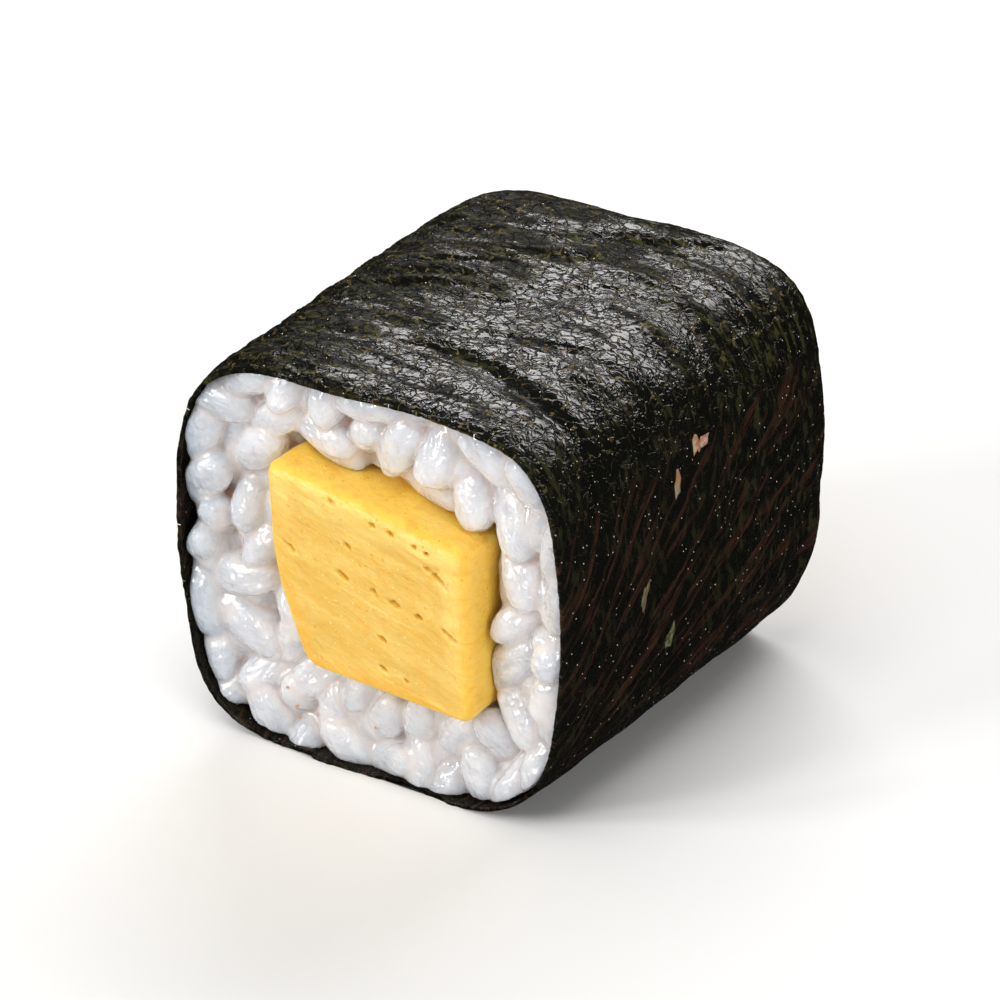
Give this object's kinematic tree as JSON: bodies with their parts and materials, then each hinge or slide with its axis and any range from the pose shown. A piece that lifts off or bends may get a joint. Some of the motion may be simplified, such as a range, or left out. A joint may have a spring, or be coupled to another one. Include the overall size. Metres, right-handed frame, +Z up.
{
  "type": "sushi roll piece with rolled omelette",
  "caption": "Cut piece of a rounded-square sushi roll: a nori sheet round pressed rice with a bar of sweet rolled omelette standing slightly proud at each cut face.",
  "frame": {"origin": "on the surface that the roll lies on, under the middle of its box", "axes": "+Z up, +Y along the roll away from the cut face that the picture shows, +X across the roll towards its right side as seen from that cut face"},
  "size_m": [0.032, 0.0342, 0.0291],
  "materials": {
    "nori": "dried seaweed sheet, satin gloss on a fine net of wrinkles",
    "rice": "moist translucent cooked short-grain rice",
    "tamago": "soft moist cooked egg with fine pores"
  },
  "bodies": {
    "root": {"nori": "nori", "rice": "rice", "tamago": "tamago"}
  },
  "joints": []
}
